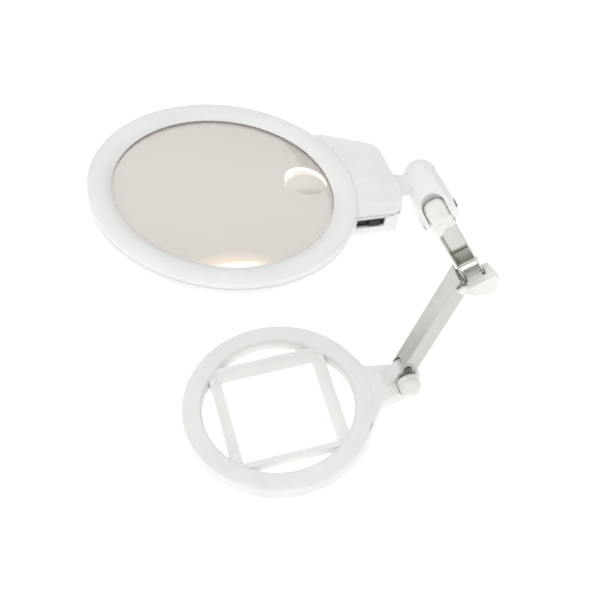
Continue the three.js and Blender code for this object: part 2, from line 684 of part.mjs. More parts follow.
// Swivel retainer and its screw, inside the housing's end wall
const retainerX = houseEnd - 4.7;
place(head, 'swivel_washer', cut(
  rod('x', retainerX, retainerX + 1.8, 0, -swivelDrop, 6.6),
  rod('x', retainerX - 1, retainerX + 1.2, 0, -swivelDrop, 4.2, 1.8, 24),
  rod('x', retainerX, retainerX + 5, 0, -swivelDrop, 1.8, 1.8, 24),
), steel);
place(head, 'swivel_screw', join(
  rod('x', retainerX + 0.05, retainerX + 1.3, 0, -swivelDrop, 2.9, 1.4, 24),
  rod('x', retainerX + 1.2, houseEnd + 6, 0, -swivelDrop, 1.4, 1.4, 16),
), steel);

// Screws from below that hold the two shells together
for (let i = 0; i < screwCount; i += 1) {
  const [x, y] = screwSpot(i);
  place(head, `shell_screw_${i + 1}`, join(
    rod('z', frameFoot + 0.4, frameFoot + 1.9, x, y, 2, 2, 16),
    rod('z', frameFoot + 1.8, 0.2, x, y, 1, 1, 12),
  ), steel);
}

export default model;
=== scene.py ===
import json
import math

import bmesh
import bpy
from mathutils import Matrix, Vector


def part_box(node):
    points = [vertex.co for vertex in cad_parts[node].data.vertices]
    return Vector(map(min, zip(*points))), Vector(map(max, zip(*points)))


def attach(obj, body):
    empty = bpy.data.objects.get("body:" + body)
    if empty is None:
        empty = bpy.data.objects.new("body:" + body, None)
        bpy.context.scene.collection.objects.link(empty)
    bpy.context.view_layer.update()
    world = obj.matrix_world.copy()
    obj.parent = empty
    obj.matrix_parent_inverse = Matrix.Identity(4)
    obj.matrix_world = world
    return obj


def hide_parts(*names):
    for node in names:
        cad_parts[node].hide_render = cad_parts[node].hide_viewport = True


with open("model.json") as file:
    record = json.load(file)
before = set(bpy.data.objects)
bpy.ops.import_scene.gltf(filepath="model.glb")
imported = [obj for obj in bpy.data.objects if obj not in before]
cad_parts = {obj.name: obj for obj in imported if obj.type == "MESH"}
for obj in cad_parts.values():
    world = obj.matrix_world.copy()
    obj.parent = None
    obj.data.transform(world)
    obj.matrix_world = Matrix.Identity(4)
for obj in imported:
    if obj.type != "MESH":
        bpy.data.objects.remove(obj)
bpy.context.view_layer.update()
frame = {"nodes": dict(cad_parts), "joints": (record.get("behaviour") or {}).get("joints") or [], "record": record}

nodes = frame["nodes"]
joints = {joint["name"]: joint for joint in frame["joints"]}
collection = bpy.context.scene.collection


def mm(*values):
    return Vector(values) / 1000


# Camera: a long lens, looking down on the stand from its front left
cameraValues = {
    "azimuth": -14.4586,  # degrees, from the -Y side towards +X
    "elevation": 53.1594,
    "roll": -0.9691,
    "distance": 883.663,  # mm, from the plane through the ring's centre
    "across": 15.1037,
    "up": 79.0324,
    "ringCentre": -80.0,
    "lens": 75.0,
    "sensor": 36.0,
}


def addCamera(values):
    azimuth, elevation, roll = (math.radians(values[key]) for key in ("azimuth", "elevation", "roll"))
    back = Vector((math.sin(azimuth) * math.cos(elevation), -math.cos(azimuth) * math.cos(elevation),
                   math.sin(elevation)))
    level = Vector((math.cos(azimuth), math.sin(azimuth), 0))
    upright = back.cross(level)
    right = level * math.cos(roll) + upright * math.sin(roll)
    up = upright * math.cos(roll) - level * math.sin(roll)
    place = right * values["across"] + up * values["up"] + back * values["distance"]
    place.x += values["ringCentre"]
    data = bpy.data.cameras.new("camera")
    data.lens = values["lens"]
    data.sensor_width = values["sensor"]
    data.clip_end = 20
    camera = bpy.data.objects.new("camera", data)
    turn = Matrix((right, up, back)).transposed().to_4x4()
    camera.matrix_world = Matrix.Translation(place / 1000) @ turn
    collection.objects.link(camera)
    bpy.context.scene.camera = camera


addCamera(cameraValues)
print("camera set")


# Frames of the moving bodies at rest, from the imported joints
def frameMatrix(origin, alongX, alongZ):
    x = Vector(alongX).normalized()
    z = Vector(alongZ).normalized()
    y = z.cross(x)
    return Matrix.Translation(origin) @ Matrix((x, y, z)).transposed().to_4x4()


headValues = {"swivelX": 0.102, "swivelDrop": 0.011}  # metres, from the lens centre to the swivel's point
swivel = joints["head_swivel"]
headX = Vector(swivel["axis"])
headZ = -Vector(joints["battery_door_release"]["axis"])
headCentre = Vector(swivel["pos_m"]) - headX * headValues["swivelX"] + headZ * headValues["swivelDrop"]
headFrame = frameMatrix(headCentre, headX, headZ)
baseHinge = Vector(joints["base_hinge"]["pos_m"])
lowerLean = 20  # degrees from the vertical, towards the elbow
lowerFrame = Matrix.Translation(baseHinge) @ Matrix.Rotation(math.radians(lowerLean), 4, "Y")
crossX = Vector(joints["elbow_cross"]["axis"])
upperFrame = frameMatrix(joints["elbow_cross"]["pos_m"], crossX, (-crossX.z, 0, crossX.x))


# Materials
def toLinear(hexColour):
    channels = [int(hexColour[i:i + 2], 16) / 255 for i in (1, 3, 5)]
    return tuple(c / 12.92 if c <= 0.04045 else ((c + 0.055) / 1.055) ** 2.4 for c in channels) + (1,)


def addNode(tree, kind, settings=None, links=None):
    node = tree.nodes.new(kind)
    for key, value in (settings or {}).items():
        if hasattr(node, str(key)):
            setattr(node, key, value)
        else:
            node.inputs[key].default_value = value
    for key, source in (links or {}).items():
        tree.links.new(source, node.inputs[key])
    return node


def startMaterial(name):
    material = bpy.data.materials.new(name)
    material.use_nodes = True
    material.node_tree.nodes.clear()
    return material, material.node_tree


def stretched(tree, vector, alongFrame, stretch):
    # Turns the pattern into a body's frame and draws it out along that body's Z.
    turn = alongFrame.to_3x3().inverted().to_euler()
    turned = addNode(tree, "ShaderNodeMapping", {"Rotation": turn}, {"Vector": vector})
    drawn = addNode(tree, "ShaderNodeMapping", {"Scale": (1, 1, 1 / stretch)}, {"Vector": turned.outputs[0]})
    return drawn.outputs[0]


def finishMaterial(material, tree, shader):
    output = addNode(tree, "ShaderNodeOutputMaterial", None, {"Surface": shader.outputs[0]})
    output.is_active_output = True
    return material


# Where most of a noise pattern's values lie
middle = {"From Min": 0.35, "From Max": 0.65}


def mouldedPlastic(name, values):
    # Injection moulded plastic: an even colour with faint flow clouds, and a fine spark-eroded skin.
    material, tree = startMaterial(name)
    where = addNode(tree, "ShaderNodeTexCoord").outputs["Object"]
    patterns = {}
    for key, detail, roughness in (("flow", 4, 0.55), ("skin", 2, 0.7), ("speck", 5, 0.65)):
        settings = {"Scale": 1000 / values[key], "Detail": detail, "Roughness": roughness}
        patterns[key] = addNode(tree, "ShaderNodeTexNoise", settings, {"Vector": where}).outputs["Fac"]
    clouds = addNode(tree, "ShaderNodeMapRange", middle, {"Value": patterns["flow"]})
    tint = addNode(tree, "ShaderNodeMix", {
        "data_type": "RGBA", 6: toLinear(values["colour"]), 7: toLinear(values["cloud"]),
    }, {0: clouds.outputs[0]})
    specks = {"From Min": 0.62, "From Max": 0.72, "To Max": values["dust"]}
    grime = addNode(tree, "ShaderNodeMapRange", specks, {"Value": patterns["speck"]})
    worn = addNode(tree, "ShaderNodeMix", {"data_type": "RGBA", 7: toLinear(values["dustColour"])},
                   {0: grime.outputs[0], 6: tint.outputs[2]})
    gloss = {**middle, "To Min": values["rough"] - 0.05, "To Max": values["rough"] + 0.06}
    rough = addNode(tree, "ShaderNodeMapRange", gloss, {"Value": patterns["speck"]})
    bump = addNode(tree, "ShaderNodeBump", {"Strength": values["bump"], "Distance": 0.00004},
                   {"Height": patterns["skin"]})
    shader = addNode(tree, "ShaderNodeBsdfPrincipled", {
        "IOR": values["ior"],
        "Subsurface Weight": values["depth"],
        "Subsurface Radius": (0.002, 0.0019, 0.0018),
        "Subsurface Scale": 0.6,
    }, {"Base Color": worn.outputs[2], "Roughness": rough.outputs[0], "Normal": bump.outputs[0]})
    return finishMaterial(material, tree, shader)


def drawnMetal(name, values, alongFrame):
    # Rolled or plated sheet: streaks along the rolling direction, and a soft handling haze.
    material, tree = startMaterial(name)
    where = addNode(tree, "ShaderNodeTexCoord").outputs["Object"]
    lines = stretched(tree, where, alongFrame, values["stretch"])
    grain = {"Scale": 1000 / values["grain"], "Detail": 4, "Roughness": 0.7}
    streak = addNode(tree, "ShaderNodeTexNoise", grain, {"Vector": lines}).outputs["Fac"]
    cloud = {"Scale": 1000 / values["haze"], "Detail": 4, "Roughness": 0.55}
    haze = addNode(tree, "ShaderNodeTexNoise", cloud, {"Vector": where}).outputs["Fac"]
    shade = addNode(tree, "ShaderNodeMapRange", {"From Min": 0.3, "From Max": 0.7}, {"Value": streak})
    tint = addNode(tree, "ShaderNodeMix", {
        "data_type": "RGBA", 6: toLinear(values["dark"]), 7: toLinear(values["light"]),
    }, {0: shade.outputs[0]})
    gloss = {**middle, "To Min": values["rough"] - 0.06, "To Max": values["rough"] + 0.06}
    fine = addNode(tree, "ShaderNodeMapRange", gloss, {"Value": streak})
    smudge = addNode(tree, "ShaderNodeMapRange", {**middle, "To Max": values["smudge"]}, {"Value": haze})
    rough = addNode(tree, "ShaderNodeMath", {"operation": "ADD"}, {0: fine.outputs[0], 1: smudge.outputs[0]})
    relief = {"Strength": values["bump"], "Distance": 0.00003}
    bump = addNode(tree, "ShaderNodeBump", relief, {"Height": streak})
    shader = addNode(tree, "ShaderNodeBsdfPrincipled", {"Metallic": 1.0, "Anisotropic": values["lean"]}, {
        "Base Color": tint.outputs[2], "Roughness": rough.outputs[0], "Normal": bump.outputs[0],
    })
    return finishMaterial(material, tree, shader)


plasticValues = {
    # ABS: neutral, near white, with a soft gloss that shows broad highlights.
    "abs": {"colour": "#F5F5F3", "cloud": "#F0F0EE", "dustColour": "#D9D8D2", "flow": 26, "skin": 0.7,
            "speck": 5, "dust": 0.25, "rough": 0.33, "bump": 0.35, "ior": 1.54, "depth": 0.06},
    # Acetal: a little yellower and waxier, so its edges glow slightly.
    "acetal": {"colour": "#F4F4F0", "cloud": "#EFEFE9", "dustColour": "#D2D0C2", "flow": 14, "skin": 0.8,
               "speck": 4, "dust": 0.3, "rough": 0.37, "bump": 0.4, "ior": 1.48, "depth": 0.12},
    # Black ABS with a dull, grippy moulded skin.
    "blackAbs": {"colour": "#1B1A1B", "cloud": "#232223", "dustColour": "#4A4846", "flow": 6, "skin": 0.35,
                 "speck": 1.5, "dust": 0.35, "rough": 0.48, "bump": 0.7, "ior": 1.54, "depth": 0.0},
    # Solder mask: deep green with a glassy coat.
    "solderMask": {"colour": "#24603A", "cloud": "#1F5532", "dustColour": "#7E9A7F", "flow": 4, "skin": 0.5,
                   "speck": 1.2, "dust": 0.4, "rough": 0.25, "bump": 0.3, "ior": 1.5, "depth": 0.0},
    # Shrink sleeve on a cell: grey print film, smooth and slightly metallic looking.
    "cellSleeve": {"colour": "#8E949C", "cloud": "#7F858E", "dustColour": "#BFC2C6", "flow": 9, "skin": 1.2,
                   "speck": 2, "dust": 0.3, "rough": 0.3, "bump": 0.2, "ior": 1.5, "depth": 0.0},
    # Clear epoxy over a warm phosphor: milky with a glassy skin.
    "ledEpoxy": {"colour": "#F8F3D8", "cloud": "#F3E6B0", "dustColour": "#F7F2DC", "flow": 2, "skin": 0.8,
                 "speck": 1, "dust": 0.1, "rough": 0.1, "bump": 0.05, "ior": 1.53, "depth": 0.4},
}
metalValues = {
    # Cold rolled steel, satin: fine lines along the link and soft, stretched reflections.
    "satinSteel": {"dark": "#B9B8B4", "light": "#CCCBC8", "grain": 0.2, "haze": 18, "stretch": 60,
                   "rough": 0.32, "smudge": 0.06, "bump": 0.12, "lean": 0.5},
    # Chromium plate: bright, with a few hairlines.
    "chromePlate": {"dark": "#BDBCB6", "light": "#CFCEC9", "grain": 0.3, "haze": 14, "stretch": 80,
                    "rough": 0.12, "smudge": 0.05, "bump": 0.06, "lean": 0.2},
    # Zinc plate on pins and screws: grey, faintly grained.
    "zincPlate": {"dark": "#8C8B86", "light": "#B8B7B1", "grain": 0.5, "haze": 5, "stretch": 3,
                  "rough": 0.33, "smudge": 0.1, "bump": 0.4, "lean": 0.0},
    # Blackened steel, its oxide rubbed down to a mid grey.
    "blackSteel": {"dark": "#62605E", "light": "#85837F", "grain": 0.6, "haze": 4, "stretch": 2,
                   "rough": 0.4, "smudge": 0.1, "bump": 0.4, "lean": 0.0},
    # Brass: warm and bright, a little tarnished.
    "brass": {"dark": "#9C7432", "light": "#D1A755", "grain": 0.6, "haze": 4, "stretch": 3,
              "rough": 0.28, "smudge": 0.12, "bump": 0.3, "lean": 0.0},
}
materials = {name: mouldedPlastic(name, values) for name, values in plasticValues.items()}
for name, values in metalValues.items():
    along = {"satinSteel": lowerFrame, "chromePlate": upperFrame}.get(name, Matrix.Identity(4))
    materials[name] = drawnMetal(name, values, along)


acrylicValues = {
    "tint": "#E7E2DC",
    "paintedReflectionAt": (-15.0, -61.5),  # mm across the lens, the centre of a painted warm reflection of lamp light near the rim, drawn as emission
    "paintedReflectionSize": (25.0, 4.4),
    # colours of the painted light: warm in the reflection's halo, white in its core and in the highlight crescent
    "warm": "#FFC489",
    "white": "#FFF6E8",
    "paintedHaloSize": (33.0, 12.0),
    "strength": 0.5,
    # emission strength of all the painted light on the lens
    "ripple": 9.0,
    "spotAt": (49.5, 0.0),  # the strong spot; a painted white highlight crescent, drawn as emission, lies along its far edge
    "spotSize": (12.9, 12.9),
    # the painted highlight crescent: the centre of the ellipse cut from it, its brightness, and its edge softness
    "glintInner": (48.3, -5.6),
    "glint": 1.0,
    "glintSoft": 0.1,
    "paintedHalo": 0.3,
}


def acrylicWithPaintedLight(name, values):
    # Polished cast acrylic: warm grey in depth, mirror smooth, with faint moulding ripples. Emission paints light
    # on it: a warm reflection of lamp light near the rim, and a white highlight crescent at the spot's far edge.
    material, tree = startMaterial(name)
    where = addNode(tree, "ShaderNodeTexCoord").outputs["Object"]
    centre = headFrame.translation
    away = addNode(tree, "ShaderNodeVectorMath", {"operation": "SUBTRACT", 1: centre}, {0: where}).outputs[0]
    across = []
    for i in (0, 1):
        measure = {"operation": "DOT_PRODUCT", 1: headFrame.col[i].xyz * 1000}
        across.append(addNode(tree, "ShaderNodeVectorMath", measure, {0: away}).outputs["Value"])

    def patch(at, size, soft=1.0):
        # One inside an ellipse on the lens, falling to zero at its edge over the soft part.
        parts = []
        for i in (0, 1):
            shifted = addNode(tree, "ShaderNodeMath", {"operation": "SUBTRACT", 1: at[i]}, {0: across[i]})
            scaled = addNode(tree, "ShaderNodeMath", {"operation": "DIVIDE", 1: size[i]},
                             {0: shifted.outputs[0]}).outputs[0]
            parts.append(addNode(tree, "ShaderNodeMath", {"operation": "MULTIPLY"},
                                 {0: scaled, 1: scaled}).outputs[0])
        total = addNode(tree, "ShaderNodeMath", {"operation": "ADD"}, {0: parts[0], 1: parts[1]}).outputs[0]
        fall = {"interpolation_type": "SMOOTHSTEP", "From Min": 1.0, "From Max": 1.0 - soft}
        return addNode(tree, "ShaderNodeMapRange", fall, {"Value": total}).outputs[0]

    # painted warm reflection of lamp light: a white core inside a wider warm halo, drawn as emission
    paintedReflectionCore = patch(values["paintedReflectionAt"], values["paintedReflectionSize"])
    paintedHalo = patch(values["paintedReflectionAt"], values["paintedHaloSize"])
    ripple = addNode(tree, "ShaderNodeTexNoise", {"Scale": 1000 / values["ripple"], "Detail": 2},
                     {"Vector": where}).outputs["Fac"]
    bump = addNode(tree, "ShaderNodeBump", {"Strength": 0.06, "Distance": 0.0002}, {"Height": ripple})
    paintedLampReflection = addNode(tree, "ShaderNodeMath", {"operation": "MULTIPLY_ADD", 1: values["paintedHalo"]},
                   {0: paintedHalo, 2: paintedReflectionCore}).outputs[0]
    # painted highlight: a white crescent on the spot's far edge, one ellipse less a shifted copy, drawn as
    # emission
    glint = patch(values["spotAt"], values["spotSize"], values["glintSoft"])
    inner = patch(values["glintInner"], values["spotSize"], values["glintSoft"])
    paintedCrescent = addNode(tree, "ShaderNodeMath", {"operation": "SUBTRACT", "use_clamp": True},
                       {0: glint, 1: inner}).outputs[0]
    whiteness = addNode(tree, "ShaderNodeMath", {"operation": "MAXIMUM"}, {0: paintedReflectionCore, 1: paintedCrescent}).outputs[0]
    # colour of the painted light: warm in the reflection's halo, white in its core and in the highlight crescent
    glow = addNode(tree, "ShaderNodeMix", {
        "data_type": "RGBA", 6: toLinear(values["warm"]), 7: toLinear(values["white"]),
    }, {0: whiteness}).outputs[2]
    # brightness of the painted light: the highlight crescent plus the painted lamp reflection
    light = addNode(tree, "ShaderNodeMath", {"operation": "MULTIPLY_ADD", 1: values["glint"]},
                    {0: paintedCrescent, 2: paintedLampReflection}).outputs[0]
    strength = addNode(tree, "ShaderNodeMath", {"operation": "MULTIPLY", 1: values["strength"]},
                       {0: light}).outputs[0]
    shader = addNode(tree, "ShaderNodeBsdfPrincipled", {
        "Base Color": toLinear(values["tint"]), "Roughness": 0.04, "IOR": 1.49, "Transmission Weight": 0.6,
    }, {"Normal": bump.outputs[0], "Emission Color": glow, "Emission Strength": strength})
    return finishMaterial(material, tree, shader)


materials["acrylic"] = acrylicWithPaintedLight("acrylicWithPaintedLight", acrylicValues)
print("materials made:", len(materials))

slotMaterials = {
    "white_abs": "abs", "ivory_acetal": "acetal", "satin_steel": "satinSteel", "chrome": "chromePlate",
    "zinc_steel": "zincPlate", "dark_steel": "blackSteel", "brass": "brass", "black_plastic": "blackAbs",
    "acrylic": "acrylic", "led_resin": "ledEpoxy", "board": "solderMask", "cell_jacket": "cellSleeve",
}
nodeSlots = {part["node"]: part["material_slot"] for part in frame["record"]["subparts"]}
nodeBodies = {node: body for body, group in frame["record"]["behaviour"]["bodies"].items() for node in group}


# Piece building
def addObject(name, mesh):
    piece = bpy.data.objects.new(name, mesh)
    collection.objects.link(piece)
    return piece


def meshFrom(name, work):
    bmesh.ops.recalc_face_normals(work, faces=work.faces)
    mesh = bpy.data.meshes.new(name)
    work.to_mesh(mesh)
    work.free()
    return mesh


def settle(piece, body, material, replaced=()):
    piece.data.materials.clear()
    piece.data.materials.append(materials[material])
    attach(piece, body)
    if replaced:
        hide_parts(*replaced)


def softenEdges(piece, width, segments=3, sharpAngle=30):
    # width in mm, and the least angle in degrees at which an edge is rounded
    for face in piece.data.polygons:
        face.use_smooth = True
    bevel = piece.modifiers.new("edges", "BEVEL")
    bevel.width = width / 1000
    bevel.segments = segments
    bevel.limit_method = "ANGLE"
    bevel.angle_limit = math.radians(sharpAngle)
    bevel.use_clamp_overlap = False
    bevel.miter_outer = "MITER_ARC"
    weighted = piece.modifiers.new("shading", "WEIGHTED_NORMAL")
    weighted.mode = "FACE_AREA"
    weighted.weight = 90


cleanValues = {
    "merge": 0.02,  # mm
    "shortEdge": 0.01,  # mm
    "flat": 0.4,  # degrees, within which faces count as one flat area
    "areaChange": 0.001,  # a recut that changes the area by more than this part is dropped
}


def cleanCopy(source):
    # The shape joined up, with its flat areas cut afresh into well-shaped triangles.
    work = bmesh.new()
    work.from_mesh(source)
    bmesh.ops.remove_doubles(work, verts=work.verts, dist=cleanValues["merge"] / 1000)
    bmesh.ops.dissolve_degenerate(work, edges=work.edges, dist=cleanValues["shortEdge"] / 1000)
    before = sum(face.calc_area() for face in work.faces)
    fresh = work.copy()
    bmesh.ops.dissolve_limit(fresh, angle_limit=math.radians(cleanValues["flat"]), verts=fresh.verts,
                             edges=fresh.edges)
    bmesh.ops.triangulate(fresh, faces=fresh.faces, quad_method="BEAUTY", ngon_method="BEAUTY")
    after = sum(face.calc_area() for face in fresh.faces)
    same = abs(after / before - 1) < cleanValues["areaChange"]
    kept, spare = (fresh, work) if same else (work, fresh)
    spare.free()
    kept.verts.index_update()
    corners = [tuple(vertex.co) for vertex in kept.verts]
    faces = [[vertex.index for vertex in face.verts] for face in kept.faces]
    kept.free()
    mesh = bpy.data.meshes.new(source.name + ".plain")
    mesh.from_pydata(corners, [], faces)
    return mesh


def finerCopy(node, width):
    # The CAD node's shape, with its edges rounded as a mould rounds them.
    piece = addObject(node + ".finish", cleanCopy(nodes[node].data))
    softenEdges(piece, width)
    settle(piece, nodeBodies[node], slotMaterials[nodeSlots[node]], [node])


edgeWidths = {  # mm, the rounding of each piece's edges
    "base_ring": 0.25,
    "lower_link": 0.45, "upper_link": 0.45,
    "elbow_block": 0.6, "head_tongue": 0.5, "yoke": 0.3,
    "head_rear_shell": 0.5, "head_front_shell": 0.5,
    "battery_door": 0.4, "switch_body": 0.3, "circuit_board": 0.2,
    "base_hinge_nut": 0.3, "yoke_nut": 0.3, "base_hinge_pin": 0.3, "lower_link_stop_pin": 0.3,
    "elbow_hinge_pin": 0.3, "elbow_cross_pin": 0.3, "upper_link_stop_pin": 0.3, "head_tongue_rivet": 0.3,
    "yoke_screw": 0.3, "swivel_washer": 0.2, "swivel_screw": 0.2,
    "contact_strip_left": 0.1, "contact_strip_right": 0.1,
    "battery_1": 0.4, "battery_2": 0.4, "battery_3": 0.4, "led_left": 0.2, "led_right": 0.2,
}
for node, width in edgeWidths.items():
    finerCopy(node, width)
print("moulded and pressed pieces finished:", len(edgeWidths))


def latheMesh(name, profile, sides, place):
    # profile: (radius, height) in mm, from the bottom pole round to the top one
    work = bmesh.new()
    rings = []
    for radius, height in profile:
        if radius < 1e-6:
            rings.append([work.verts.new((0, 0, height / 1000))])
            continue
        turns = [2 * math.pi * i / sides for i in range(sides)]
        corners = [(radius * math.cos(t) / 1000, radius * math.sin(t) / 1000, height / 1000) for t in turns]
        rings.append([work.verts.new(corner) for corner in corners])
    for low, high in zip(rings, rings[1:]):
        for i in range(sides):
            j = (i + 1) % sides
            loop = [low[i % len(low)], low[j % len(low)], high[j % len(high)], high[i % len(high)]]
            unique = [v for k, v in enumerate(loop) if v not in loop[:k]]
            if len(unique) > 2:
                work.faces.new(unique)
    mesh = meshFrom(name, work)
    mesh.transform(place)
    for face in mesh.polygons:
        face.use_smooth = True
    return mesh


# The bifocal lens: one biconvex disc with a strong spot near the arm
lensValues = {"rimRadius": 65.5, "clear": 62.9, "rimTop": -1.2, "rimThick": 3.0, "bulge": 4.5,
              "spotRadius": 13.0, "spotRise": 3.4, "spotEdge": 0.7, "spotX": 49.5, "spotTilt": 7.0,
              "spotHeight": -0.6, "spotFoot": -1.0, "rimEdge": 0.3, "rings": 26, "sides": 160,
              "spotSteps": 12, "spotSides": 96}


def buildLens(values):
    top = values["rimTop"]
    foot = top - values["rimThick"]
    edge = values["rimEdge"]
    rings = values["rings"]
    radii = [values["clear"] * i / rings for i in range(rings + 1)]

    def rise(r):
        return values["bulge"] * (1 - (r / values["clear"]) ** 2)

    profile = [(r, foot - rise(r)) for r in radii]
    profile += [(values["rimRadius"] - edge, foot), (values["rimRadius"], foot + edge),
                (values["rimRadius"], top - edge), (values["rimRadius"] - edge, top)]
    profile += [(r, top + rise(r)) for r in reversed(radii)]
    disc = addObject("lens.finish", latheMesh("lens", profile, values["sides"], Matrix.Identity(4)))
    steps = values["spotSteps"]
    spotProfile = [(0, values["spotFoot"]), (values["spotRadius"], values["spotFoot"]),
                   (values["spotRadius"], values["spotEdge"])]
    for i in range(1, steps + 1):
        r = values["spotRadius"] * math.cos(math.pi / 2 * i / steps) if i < steps else 0
        dome = values["spotRise"] * (1 - (r / values["spotRadius"]) ** 2)
        spotProfile.append((r, values["spotEdge"] + dome))
    lean = Matrix.Translation(mm(values["spotX"], 0, values["spotHeight"]))
    lean = lean @ Matrix.Rotation(math.radians(values["spotTilt"]), 4, "Y")
    spot = addObject("spot", latheMesh("spot", spotProfile, values["spotSides"], lean))
    union = disc.modifiers.new("spot", "BOOLEAN")
    union.operation = "UNION"
    union.object = spot
    union.solver = "EXACT"
    whole = bpy.data.meshes.new_from_object(disc.evaluated_get(bpy.context.evaluated_depsgraph_get()))
    disc.modifiers.clear()
    disc.data = whole
    whole.transform(headFrame)
    whole.set_sharp_from_angle(angle=math.radians(35))
    bpy.data.objects.remove(spot)
    settle(disc, "head", "acrylic", ["lens"])


buildLens(lensValues)
print("lens made")


# The base knob: a domed thumb knob with a shallow moulded ring
knobValues = {"radius": 8.2, "rim": 4.6, "depth": 13.0, "edge": 1.3, "grooveDeep": 0.35, "grooveWide": 0.7,
              "edgeSteps": 5, "domeSteps": 18, "sides": 96}


def buildKnob(values):
    r = values["radius"]
    edge = values["edge"]
    rim = values["rim"]
    profile = [(0, 0), (r - edge, 0)]
    for i in range(1, values["edgeSteps"] + 1):
        t = math.pi / 2 * i / values["edgeSteps"]
        profile.append((r - edge + edge * math.sin(t), edge - edge * math.cos(t)))
    profile += [(r, rim - values["grooveWide"]), (r - values["grooveDeep"], rim - values["grooveWide"] / 2),
                (r, rim)]
    for i in range(1, values["domeSteps"] + 1):
        t = math.pi / 2 * i / values["domeSteps"]
        profile.append((r * math.cos(t) if i < values["domeSteps"] else 0,
                        rim + (values["depth"] - rim) * math.sin(t)))
    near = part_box("base_hinge_knob")[1].y
    place = Matrix.Translation((baseHinge.x, near, baseHinge.z)) @ Matrix.Rotation(math.radians(90), 4, "X")
    knob = addObject("base_hinge_knob.finish", latheMesh("knob", profile, values["sides"], place))
    settle(knob, "base", "acetal", ["base_hinge_knob"])


buildKnob(knobValues)


# Geometry Nodes: one tree for rows of ribs, one for sweeps along a path, one for a ring of screws
def startTree(name, inputs):
    tree = bpy.data.node_groups.new(name, "GeometryNodeTree")
    tree.interface.new_socket(name="Geometry", in_out="OUTPUT", socket_type="NodeSocketGeometry")
    for label, kind, value in inputs:
        socket = tree.interface.new_socket(name=label, in_out="INPUT", socket_type="NodeSocket" + kind)
        if value is not None:
            socket.default_value = value
    return tree, addNode(tree, "NodeGroupInput"), addNode(tree, "NodeGroupOutput")


def endTree(tree, source, given, output):
    real = addNode(tree, "GeometryNodeRealizeInstances", None, {"Geometry": source})
    finished = addNode(tree, "GeometryNodeSetMaterial", None,
                       {"Geometry": real.outputs[0], "Material": given.outputs["Material"]})
    tree.links.new(finished.outputs[0], output.inputs[0])
    return tree


def runTree(tree, name, values, place):
    piece = addObject(name, bpy.data.meshes.new(name))
    modifier = piece.modifiers.new("shape", "NODES")
    modifier.node_group = tree
    for item in tree.interface.items_tree:
        if item.in_out == "INPUT" and item.name in values:
            modifier[item.identifier] = values[item.name]
    piece.update_tag()
    result = bpy.data.meshes.new_from_object(piece.evaluated_get(bpy.context.evaluated_depsgraph_get()))
    piece.modifiers.clear()
    piece.data = result
    result.transform(place)
    return piece


def ribTree():
    tree, given, output = startTree("ribRow", [
        ("Count", "Int", 4), ("Pitch", "Vector", (0.0015, 0, 0)), ("Size", "Vector", (0.001, 0.001, 0.004)),
        ("Material", "Material", None)])
    line = addNode(tree, "GeometryNodeMeshLine", None, {"Count": given.outputs["Count"],
                                                        "Offset": given.outputs["Pitch"]})
    bar = addNode(tree, "GeometryNodeMeshCube", {"Vertices X": 2, "Vertices Y": 2, "Vertices Z": 2},
                  {"Size": given.outputs["Size"]})
    rows = addNode(tree, "GeometryNodeInstanceOnPoints", None, {"Points": line.outputs[0],
                                                                "Instance": bar.outputs[0]})
    return endTree(tree, rows.outputs[0], given, output)


ribEdge = {"width": 0.2, "segments": 2, "sharpAngle": 40}  # mm, steps and degrees


def ribRow(name, body, material, count, start, pitch, size):
    place = headFrame @ Matrix.Translation(mm(*start))
    row = runTree(ribs, name, {"Count": count, "Pitch": mm(*pitch), "Size": mm(*size),
                               "Material": materials[material]}, place)
    softenEdges(row, ribEdge["width"], ribEdge["segments"], ribEdge["sharpAngle"])
    settle(row, body, material)


ribs = ribTree()
sliderValues = {"x": 78.8, "length": 7.0, "near": -33.15, "root": -31.4, "low": -9.3, "high": -5.1,
                "edge": 0.35, "ribCount": 5, "ribPitch": 1.45, "ribWide": 0.7, "ribTall": 0.75}


def buildSlider(v):
    work = bmesh.new()
    bmesh.ops.create_cube(work, size=1.0)
    mesh = meshFrom("slider", work)
    size = mm(v["length"], v["root"] - v["near"], v["high"] - v["low"])
    centre = mm(v["x"] + v["length"] / 2, (v["root"] + v["near"]) / 2, (v["low"] + v["high"]) / 2)
    mesh.transform(headFrame @ Matrix.Translation(centre) @ Matrix.Diagonal((*size, 1)))
    block = addObject("switch_slider.finish", mesh)
    softenEdges(block, v["edge"], sharpAngle=ribEdge["sharpAngle"])
    settle(block, "switch", "blackAbs", ["switch_slider"])
    first = v["x"] + (v["length"] - (v["ribCount"] - 1) * v["ribPitch"]) / 2
    ribRow("switch_slider.ribs", "switch", "blackAbs", v["ribCount"],
           (first, v["near"], (v["low"] + v["high"]) / 2), (v["ribPitch"], 0, 0),
           (v["ribWide"], v["ribTall"], v["high"] - v["low"]))


buildSlider(sliderValues)
gripValues = {"count": 7, "pitch": 1.6, "x": 86.0, "z": -20.0, "wide": 0.7, "long": 18.0, "tall": 0.5}
ribRow("battery_door.grip", "door", "abs", gripValues["count"],
       (gripValues["x"], 0, gripValues["z"]), (gripValues["pitch"], 0, 0),
       (gripValues["wide"], gripValues["long"], gripValues["tall"]))


